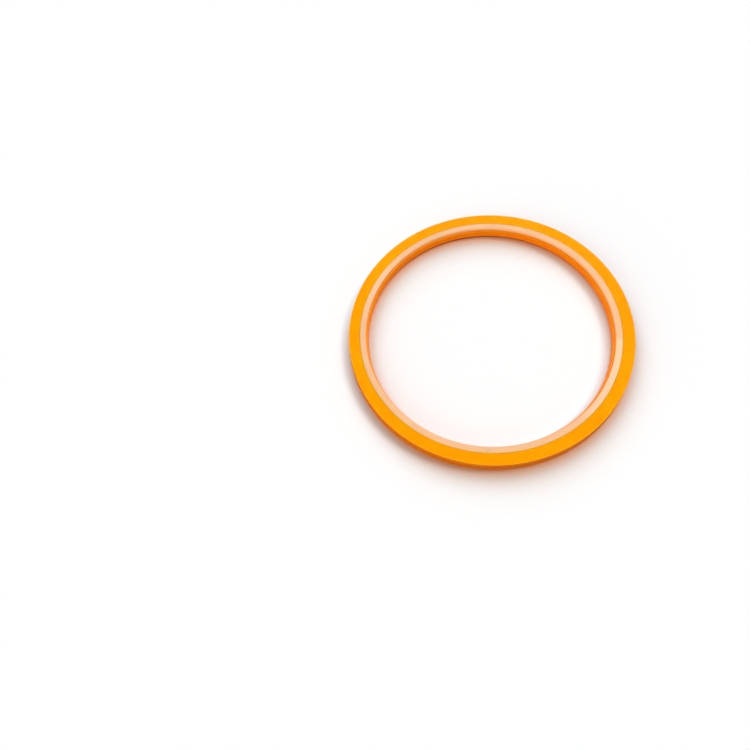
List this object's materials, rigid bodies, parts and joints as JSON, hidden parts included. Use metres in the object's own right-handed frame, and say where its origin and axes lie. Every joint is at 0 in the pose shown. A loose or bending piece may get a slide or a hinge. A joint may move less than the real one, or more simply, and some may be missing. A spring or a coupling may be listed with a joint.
{
  "type": "buffer seal",
  "caption": "Two-lip polyurethane rod buffer seal with a nylon backup ring let into the inner corner of its heel.",
  "frame": {"origin": "on the ring's axis, in the plane of the lips, which is the bottom of the box", "axes": "+Z along the ring's axis, from the lips to the heel; X and Y across it, with the gaps between the relief pads at 45 degrees to both"},
  "size_m": [0.1215, 0.1214, 0.0058],
  "materials": {
    "polyurethane": "satin, slightly translucent orange",
    "nylon": "matt, translucent natural"
  },
  "bodies": {
    "root": {"seal_ring": "polyurethane", "backup_ring": "nylon"}
  },
  "joints": []
}
